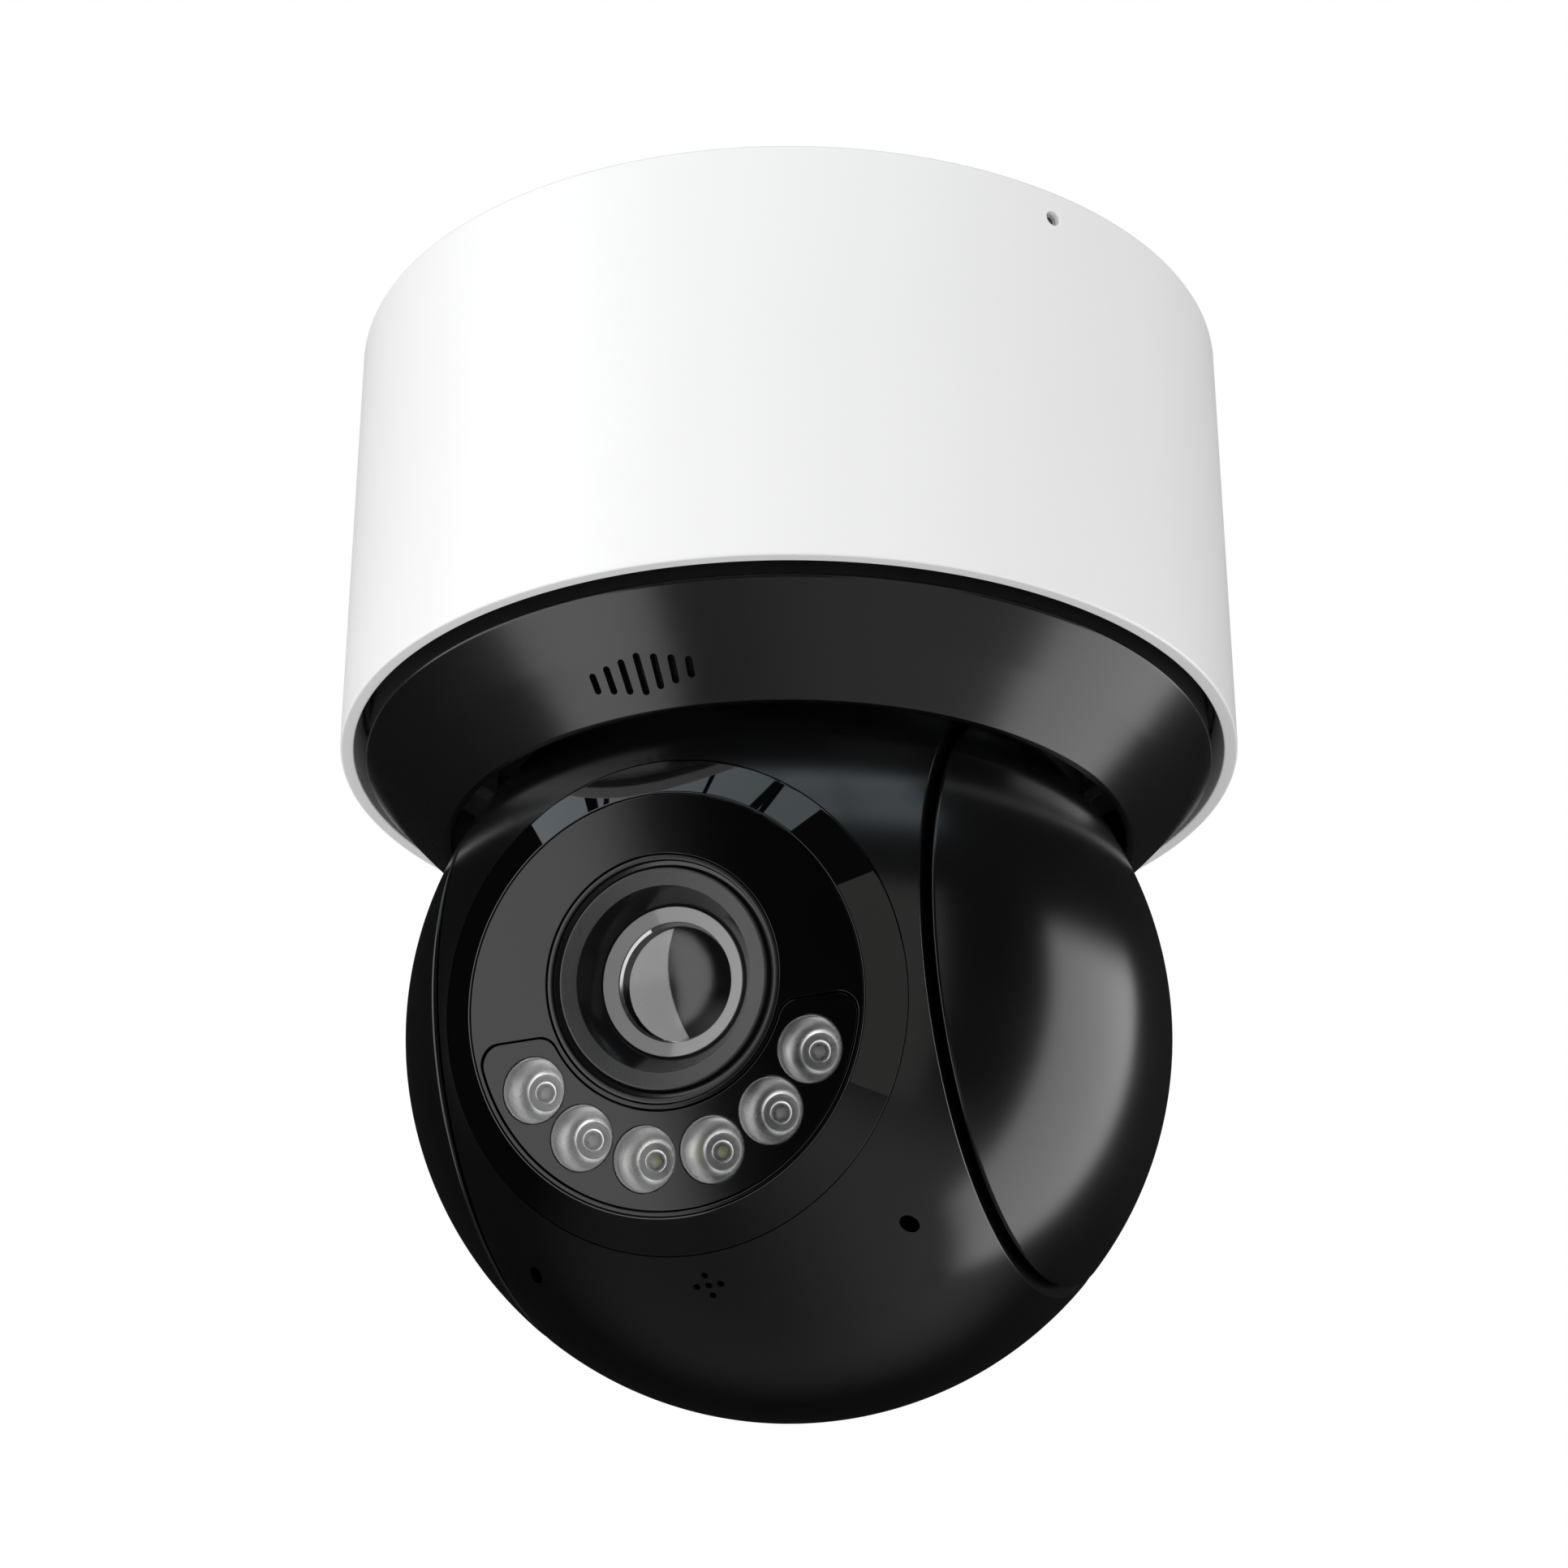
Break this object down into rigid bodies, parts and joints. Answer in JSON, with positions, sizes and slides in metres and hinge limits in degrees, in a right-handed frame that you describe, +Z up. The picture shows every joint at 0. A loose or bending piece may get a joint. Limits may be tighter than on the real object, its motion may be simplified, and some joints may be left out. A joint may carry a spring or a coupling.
{
  "type": "pan-tilt security camera",
  "caption": "Ceiling pan-tilt security camera: white drum housing, black skirt with sound slots, and a black ball head with a zoom lens and lamps behind a round window.",
  "frame": {"origin": "centre of the circle of ceiling screws, on the upper face of the mounting plate, which lies against the ceiling", "axes": "+Z up into the ceiling and along the pan axis; -Y is the way the lens looks at rest; X is the tilt axis"},
  "size_m": [0.16, 0.16, 0.1991],
  "materials": {
    "white_shell": "fine satin moulded polycarbonate, slightly cool white",
    "zinc_steel": "zinc-plated pressed steel",
    "steel_screws": "plated machine screws",
    "bearing_steel": "ground bearing steel",
    "motor_can": "drawn steel motor can",
    "plated_jack": "nickel-plated shield",
    "cast_alloy": "die-cast aluminium, blasted",
    "brass_posts": "turned brass spacers",
    "brass_gear": "hobbed brass",
    "acetal": "natural acetal",
    "dark_plastic": "moulded black engineering plastic",
    "black_rubber": "moulded silicone rubber",
    "circuit_board": "green solder mask",
    "acoustic_cloth": "black acoustic cloth",
    "black_satin": "satin black moulded polycarbonate",
    "bezel_gloss": "piano-black gloss",
    "face_matte": "matte black with a soft sheen",
    "lens_plastic": "dark moulded lens parts",
    "hood_grained": "fine spark-eroded grain, dark grey",
    "clear_lens": "clear moulded optical acrylic",
    "coated_glass": "coated optical glass"
  },
  "bodies": {
    "base": {"mounting_plate": "zinc_steel", "housing": "white_shell", "set_screw": "steel_screws", "top_cover": "dark_plastic", "cover_gasket": "black_rubber", "base_screws": "steel_screws", "cable_gland": "black_rubber", "main_board": "circuit_board", "network_jack": "plated_jack", "power_jack": "dark_plastic", "power_board": "circuit_board", "board_posts": "brass_posts", "chassis_plate": "cast_alloy", "pan_bearing": "bearing_steel", "pan_motor": "motor_can", "slip_ring_body": "dark_plastic", "slip_ring_bridge": "cast_alloy", "skirt": "black_satin", "speaker": "dark_plastic", "grille_cloth": "acoustic_cloth"},
    "pan": {"pan_hub": "cast_alloy", "pan_gear": "acetal", "hub_ring": "bearing_steel", "slip_ring_rotor": "acetal", "pan_plate": "cast_alloy", "yoke_arm_left": "cast_alloy", "yoke_arm_right": "cast_alloy", "yoke_screws": "steel_screws", "cheek_left": "black_satin", "cheek_right": "black_satin", "cheek_screws": "steel_screws", "tilt_bearing_left": "bearing_steel", "tilt_bearing_right": "bearing_steel", "tilt_motor": "motor_can"},
    "tilt": {"front_shell": "black_satin", "rear_shell": "black_satin", "shell_gasket": "black_rubber", "head_screws": "steel_screws", "tilt_shaft_left": "cast_alloy", "tilt_shaft_right": "cast_alloy", "tilt_gear": "acetal", "bezel": "bezel_gloss", "face_plate": "face_matte", "lamp_cover": "face_matte", "lamp_lenses": "clear_lens", "lamp_board": "circuit_board", "lens_trim": "lens_plastic", "lens_hood": "hood_grained", "lens_barrel": "lens_plastic", "front_lens": "coated_glass", "sensor_board": "circuit_board", "microphone": "plated_jack", "service_cover": "black_satin", "service_board": "circuit_board"},
    "pan_drive": {"pan_pinion": "brass_gear"},
    "tilt_drive": {"tilt_pinion": "brass_gear"},
    "zoom": {"zoom_group": "lens_plastic"},
    "focus": {"focus_group": "lens_plastic"},
    "ir_filter": {"filter_slide": "lens_plastic"},
    "reset": {"reset_button": "acetal"}
  },
  "joints": [
    {"name": "pan", "type": "hinge", "parent": "base", "child": "pan", "pos_m": [0, 0, -0.0595], "axis": [0, 0, 1], "continuous": true},
    {"name": "pan_pinion_spin", "type": "hinge", "parent": "base", "child": "pan_drive", "pos_m": [0, 0.0376, -0.054], "axis": [0, 0, 1], "continuous": true},
    {"name": "tilt", "type": "hinge", "parent": "pan", "child": "tilt", "pos_m": [0, 0, -0.1326], "axis": [1, 0, 0], "range_deg": [-15, 75]},
    {"name": "tilt_pinion_spin", "type": "hinge", "parent": "pan", "child": "tilt_drive", "pos_m": [0.0578, 0.01866, -0.1326], "axis": [1, 0, 0], "range_deg": [-320, 65]},
    {"name": "zoom", "type": "slide", "parent": "tilt", "child": "zoom", "axis": [0, -0.9659, -0.2588], "range_m": [-0.004, 0.004]},
    {"name": "focus", "type": "slide", "parent": "tilt", "child": "focus", "axis": [0, -0.9659, -0.2588], "range_m": [-0.002, 0.002]},
    {"name": "ir_filter", "type": "slide", "parent": "tilt", "child": "ir_filter", "axis": [1, 0, 0], "range_m": [0, 0.01]},
    {"name": "reset_press", "type": "slide", "parent": "tilt", "child": "reset", "axis": [0, -0.7986, 0.6018], "range_m": [0, 0.0005], "stiffness_N_per_m": 400, "springref_m": -0.0005}
  ],
  "couplings": [
    {"joint": "pan_pinion_spin", "follows": "pan", "ratio": -4},
    {"joint": "tilt_pinion_spin", "follows": "tilt", "ratio": -4.1667}
  ]
}
